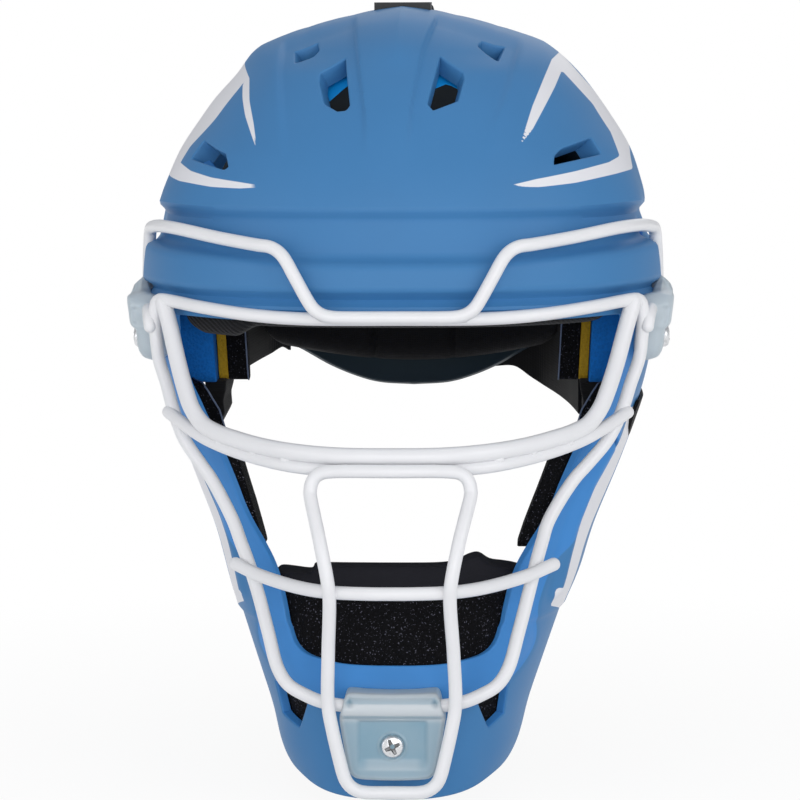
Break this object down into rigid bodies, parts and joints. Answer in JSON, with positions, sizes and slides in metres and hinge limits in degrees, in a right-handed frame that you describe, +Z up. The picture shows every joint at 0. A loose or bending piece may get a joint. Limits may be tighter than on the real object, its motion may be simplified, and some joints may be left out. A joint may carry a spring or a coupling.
{
  "type": "baseball catcher helmet",
  "caption": "Hockey-style catcher helmet with a vented front shell, hinged rear plate, welded wire cage, clips, padding and straps.",
  "frame": {"origin": "centre of the head cavity at the hat line, midway between the side walls", "axes": "+Z up out of the crown, -Y forward through the face port, +X to the right as seen from the front"},
  "size_m": [0.2394, 0.2924, 0.3351],
  "materials": {
    "shell_paint": "matte columbia blue paint",
    "cage_coat": "white powder coat",
    "clear_clip": "translucent plastic",
    "screw_metal": "bright plated",
    "black_fabric": "black padding fabric",
    "black_foam": "speckled black foam",
    "gold_foam": "gold foam",
    "blue_foam": "blue moulded foam",
    "strap_web": "black elastic webbing",
    "black_plastic": "black moulded plastic"
  },
  "bodies": {
    "helmet": {"front_shell": "shell_paint", "cage_outer_loop": "cage_coat", "cage_eye_bar": "cage_coat", "cage_cheek_bar": "cage_coat", "cage_mouth_bar": "cage_coat", "cage_center_loop": "cage_coat", "cage_visor_bar_left": "cage_coat", "cage_side_stub_left": "cage_coat", "side_clip_left": "clear_clip", "cage_visor_bar_right": "cage_coat", "cage_side_stub_right": "cage_coat", "side_clip_right": "clear_clip", "side_clip_screws": "screw_metal", "side_tee_nuts": "screw_metal", "chin_clip": "clear_clip", "chin_clip_screw": "screw_metal", "chin_tee_nut": "screw_metal", "crown_pad_center": "black_fabric", "brow_pad": "black_fabric", "chin_pad": "black_foam", "crown_pad_left": "black_fabric", "side_liner_left": "blue_foam", "side_foam_left": "gold_foam", "side_pad_left": "black_fabric", "jaw_pad_left": "black_foam", "jaw_strip_left": "black_foam", "crown_pad_right": "black_fabric", "side_liner_right": "blue_foam", "side_foam_right": "gold_foam", "side_pad_right": "black_fabric", "jaw_pad_right": "black_foam", "jaw_strip_right": "black_foam", "top_strap_hook": "black_plastic", "top_strap": "strap_web", "side_strap_left": "strap_web", "side_strap_right": "strap_web", "neck_strap_left": "strap_web", "neck_strap_right": "strap_web", "strap_rivets_front": "screw_metal"},
    "rear": {"rear_plate": "shell_paint", "rear_pad": "black_fabric", "top_strap_buckle": "black_plastic", "strap_rivets_rear": "screw_metal"}
  },
  "joints": [
    {"name": "rear_plate_hinge", "type": "hinge", "parent": "helmet", "child": "rear", "pos_m": [0, 0.06, 0.11], "axis": [1, 0, 0], "range_deg": [0, 20], "stiffness_Nm_per_rad": 1.5, "deforming": ["top_strap", "side_strap_left", "side_strap_right", "neck_strap_left", "neck_strap_right"]}
  ]
}
